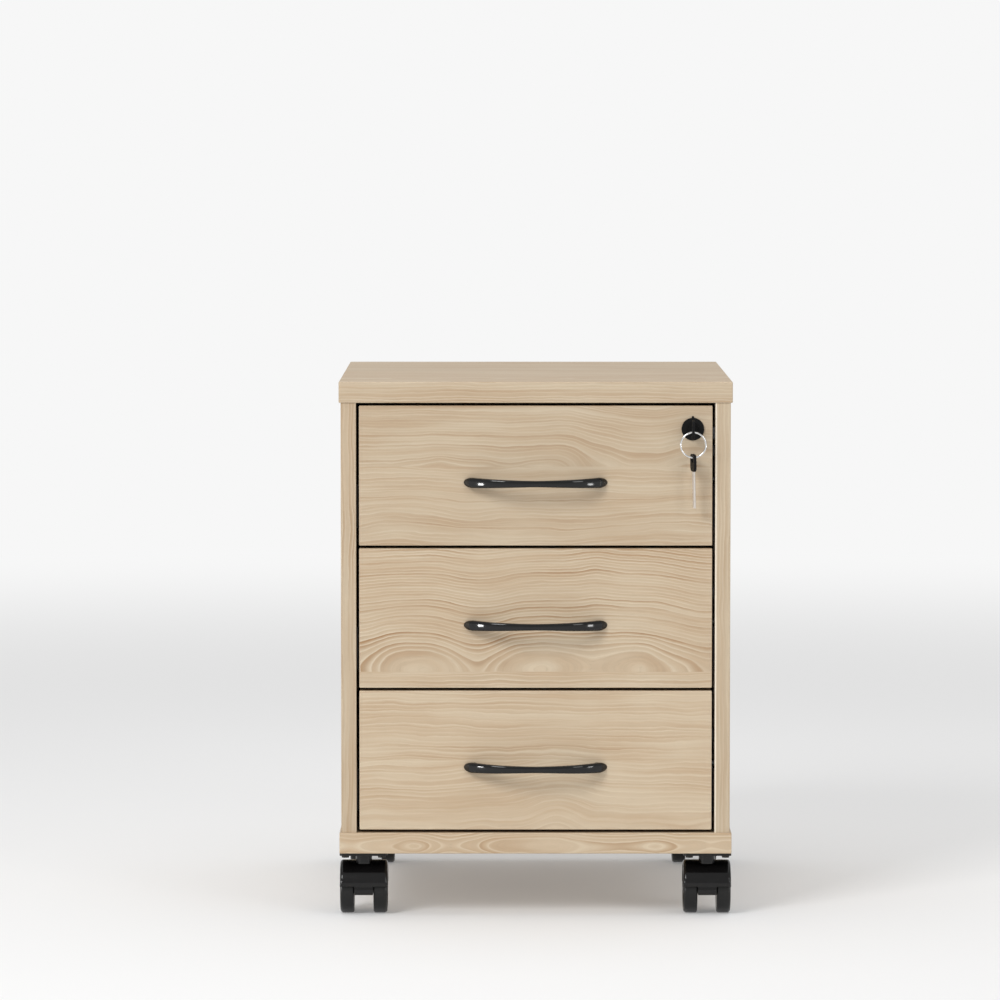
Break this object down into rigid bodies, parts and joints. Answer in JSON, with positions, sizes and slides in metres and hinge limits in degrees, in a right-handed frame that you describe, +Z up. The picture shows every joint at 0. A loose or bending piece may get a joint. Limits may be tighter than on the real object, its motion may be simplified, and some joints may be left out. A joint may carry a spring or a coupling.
{
  "type": "rolling pedestal cabinet",
  "caption": "Under-desk pedestal with stacked full-extension drawers, bow handles, a central lock with keys, and twin-wheel casters, in light woodgrain board.",
  "frame": {"origin": "on the floor, under the middle of the outline with the handles included", "axes": "+Z up, +X to the right of someone facing the drawers, drawers open towards -Y"},
  "size_m": [0.41, 0.476, 0.56],
  "materials": {
    "laminate": "satin woodgrain laminate",
    "box_board": "plain light grey board",
    "bottom_board": "plain light grey board",
    "zinc": "zinc plated",
    "screw_steel": "zinc plated",
    "black_steel": "black satin",
    "galvanised": "galvanised",
    "grey_plastic": "matte",
    "handle_plastic": "satin black",
    "lock_black": "black satin",
    "key_steel": "nickel plated",
    "key_plastic": "moulded black",
    "ring_steel": "bright wire",
    "hood_plastic": "gloss black",
    "wheel_plastic": "satin black"
  },
  "bodies": {
    "cabinet": {"top_panel": "laminate", "base_panel": "laminate", "left_side_panel": "laminate", "right_side_panel": "laminate", "back_panel": "laminate", "case_fittings": "zinc", "case_screws": "screw_steel", "caster_plates": "black_steel", "lock_bar_guides": "grey_plastic", "lower_cabinet_slides": "galvanised", "middle_cabinet_slides": "galvanised", "upper_cabinet_slides": "galvanised"},
    "lock_bar": {"lock_bar": "galvanised", "lock_bar_arm": "galvanised"},
    "lower_middle_slides": {"lower_middle_slides": "galvanised"},
    "lower_drawer": {"lower_front": "laminate", "lower_box_left": "box_board", "lower_box_right": "box_board", "lower_box_back": "box_board", "lower_bottom": "bottom_board", "lower_handle": "handle_plastic", "lower_catch": "galvanised", "lower_drawer_fasteners": "zinc", "lower_drawer_slides": "galvanised"},
    "middle_middle_slides": {"middle_middle_slides": "galvanised"},
    "middle_drawer": {"middle_front": "laminate", "middle_box_left": "box_board", "middle_box_right": "box_board", "middle_box_back": "box_board", "middle_bottom": "bottom_board", "middle_handle": "handle_plastic", "middle_catch": "galvanised", "middle_drawer_fasteners": "zinc", "middle_drawer_slides": "galvanised"},
    "upper_middle_slides": {"upper_middle_slides": "galvanised"},
    "upper_drawer": {"upper_front": "laminate", "upper_box_left": "box_board", "upper_box_right": "box_board", "upper_box_back": "box_board", "upper_bottom": "bottom_board", "upper_handle": "handle_plastic", "upper_catch": "galvanised", "upper_drawer_fasteners": "zinc", "upper_drawer_slides": "galvanised", "lock_housing": "zinc", "lock_rosette": "lock_black"},
    "key": {"lock_plug": "lock_black", "key_blade": "key_steel", "key_bow": "key_plastic"},
    "key_ring": {"key_ring": "ring_steel"},
    "spare_key": {"spare_key_blade": "key_steel", "spare_key_bow": "key_plastic"},
    "front_left_caster_hood": {"front_left_caster_hood": "hood_plastic"},
    "front_left_caster_wheels": {"front_left_caster_wheels": "wheel_plastic"},
    "front_right_caster_hood": {"front_right_caster_hood": "hood_plastic"},
    "front_right_caster_wheels": {"front_right_caster_wheels": "wheel_plastic"},
    "rear_left_caster_hood": {"rear_left_caster_hood": "hood_plastic"},
    "rear_left_caster_wheels": {"rear_left_caster_wheels": "wheel_plastic"},
    "rear_right_caster_hood": {"rear_right_caster_hood": "hood_plastic"},
    "rear_right_caster_wheels": {"rear_right_caster_wheels": "wheel_plastic"}
  },
  "joints": [
    {"name": "lower_drawer_slide", "type": "slide", "parent": "cabinet", "child": "lower_drawer", "axis": [0, -1, 0], "range_m": [0, 0.4]},
    {"name": "lower_middle_slide", "type": "slide", "parent": "cabinet", "child": "lower_middle_slides", "axis": [0, -1, 0], "range_m": [0, 0.2]},
    {"name": "middle_drawer_slide", "type": "slide", "parent": "cabinet", "child": "middle_drawer", "axis": [0, -1, 0], "range_m": [0, 0.4]},
    {"name": "middle_middle_slide", "type": "slide", "parent": "cabinet", "child": "middle_middle_slides", "axis": [0, -1, 0], "range_m": [0, 0.2]},
    {"name": "upper_drawer_slide", "type": "slide", "parent": "cabinet", "child": "upper_drawer", "axis": [0, -1, 0], "range_m": [0, 0.4]},
    {"name": "upper_middle_slide", "type": "slide", "parent": "cabinet", "child": "upper_middle_slides", "axis": [0, -1, 0], "range_m": [0, 0.2]},
    {"name": "key_turn", "type": "hinge", "parent": "upper_drawer", "child": "key", "pos_m": [0.1635, -0.21, 0.5107], "axis": [0, -1, 0], "range_deg": [0, 90]},
    {"name": "lock_bar_lift", "type": "slide", "parent": "cabinet", "child": "lock_bar", "axis": [0, 0, 1], "range_m": [0, 0.012]},
    {"name": "key_ring_turn", "type": "hinge", "parent": "key", "child": "key_ring", "pos_m": [0.1635, -0.2265, 0.5032], "axis": [0, -1, 0], "range_deg": [-90, 0]},
    {"name": "spare_key_swing", "type": "hinge", "parent": "key_ring", "child": "spare_key", "pos_m": [0.1635, -0.2265, 0.4818], "axis": [-1, 0, 0], "range_deg": [-8, 70]},
    {"name": "front_left_caster_swivel", "type": "hinge", "parent": "cabinet", "child": "front_left_caster_hood", "pos_m": [-0.18, -0.186, 0.05], "axis": [0, 0, 1], "continuous": true},
    {"name": "front_left_caster_roll", "type": "hinge", "parent": "front_left_caster_hood", "child": "front_left_caster_wheels", "pos_m": [-0.18, -0.18, 0.025], "axis": [1, 0, 0], "continuous": true},
    {"name": "front_right_caster_swivel", "type": "hinge", "parent": "cabinet", "child": "front_right_caster_hood", "pos_m": [0.18, -0.186, 0.05], "axis": [0, 0, 1], "continuous": true},
    {"name": "front_right_caster_roll", "type": "hinge", "parent": "front_right_caster_hood", "child": "front_right_caster_wheels", "pos_m": [0.18, -0.18, 0.025], "axis": [1, 0, 0], "continuous": true},
    {"name": "rear_left_caster_swivel", "type": "hinge", "parent": "cabinet", "child": "rear_left_caster_hood", "pos_m": [-0.18, 0.212, 0.05], "axis": [0, 0, 1], "continuous": true},
    {"name": "rear_left_caster_roll", "type": "hinge", "parent": "rear_left_caster_hood", "child": "rear_left_caster_wheels", "pos_m": [-0.18, 0.206, 0.025], "axis": [1, 0, 0], "continuous": true},
    {"name": "rear_right_caster_swivel", "type": "hinge", "parent": "cabinet", "child": "rear_right_caster_hood", "pos_m": [0.18, 0.212, 0.05], "axis": [0, 0, 1], "continuous": true},
    {"name": "rear_right_caster_roll", "type": "hinge", "parent": "rear_right_caster_hood", "child": "rear_right_caster_wheels", "pos_m": [0.18, 0.206, 0.025], "axis": [1, 0, 0], "continuous": true}
  ],
  "couplings": [
    {"joint": "lower_middle_slide", "follows": "lower_drawer_slide", "ratio": 0.5},
    {"joint": "middle_middle_slide", "follows": "middle_drawer_slide", "ratio": 0.5},
    {"joint": "upper_middle_slide", "follows": "upper_drawer_slide", "ratio": 0.5},
    {"joint": "key_turn", "follows": "lock_bar_lift", "rad_per_m": 130.9},
    {"joint": "key_ring_turn", "follows": "lock_bar_lift", "rad_per_m": -130.9}
  ]
}
